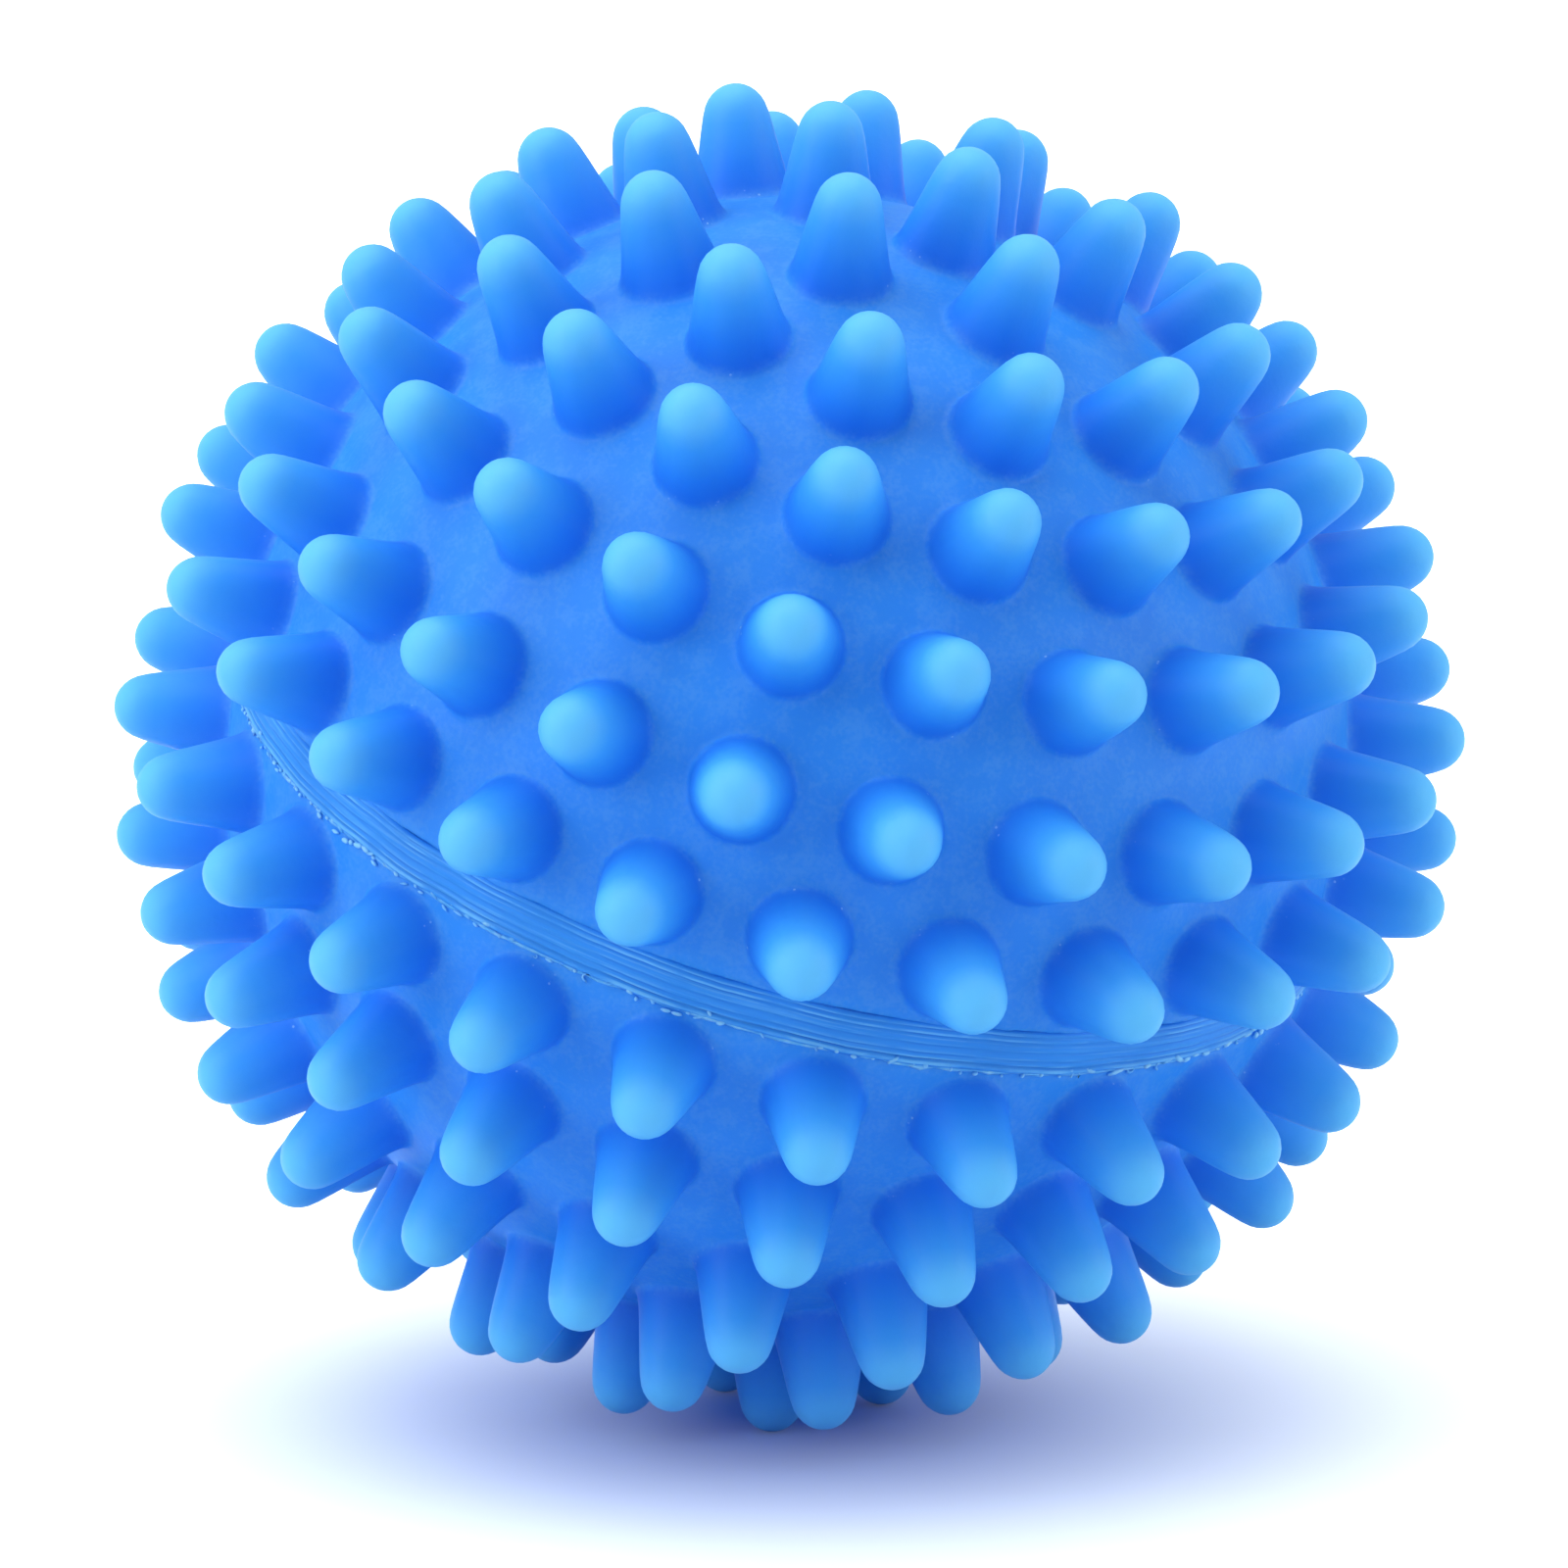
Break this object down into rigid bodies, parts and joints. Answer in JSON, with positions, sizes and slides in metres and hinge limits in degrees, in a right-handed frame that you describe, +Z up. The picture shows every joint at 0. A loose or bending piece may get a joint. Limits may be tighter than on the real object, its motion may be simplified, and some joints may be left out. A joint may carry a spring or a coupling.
{
  "type": "dryer ball",
  "caption": "Hollow soft PVC laundry dryer ball with rounded spikes all over, made of two moulded half shells welded rim to rim along a ridged seam.",
  "frame": {"origin": "on the floor, under the middle of the standing ball", "axes": "+Z up; the ball stands on three spike tips, and its mould axis leans 22 degrees from +Z, towards +X and -Y"},
  "size_m": [0.0694, 0.0695, 0.0695],
  "materials": {
    "soft_pvc": "soft satin, slightly translucent",
    "welded_pvc": "satin with fine ridges",
    "whitened_flash": "frayed and stress-whitened"
  },
  "bodies": {
    "root": {"upper_half": "soft_pvc", "lower_half": "soft_pvc", "weld_band": "welded_pvc", "flash_fringe": "whitened_flash", "weld_core": "welded_pvc", "inner_bead": "welded_pvc"}
  },
  "joints": []
}
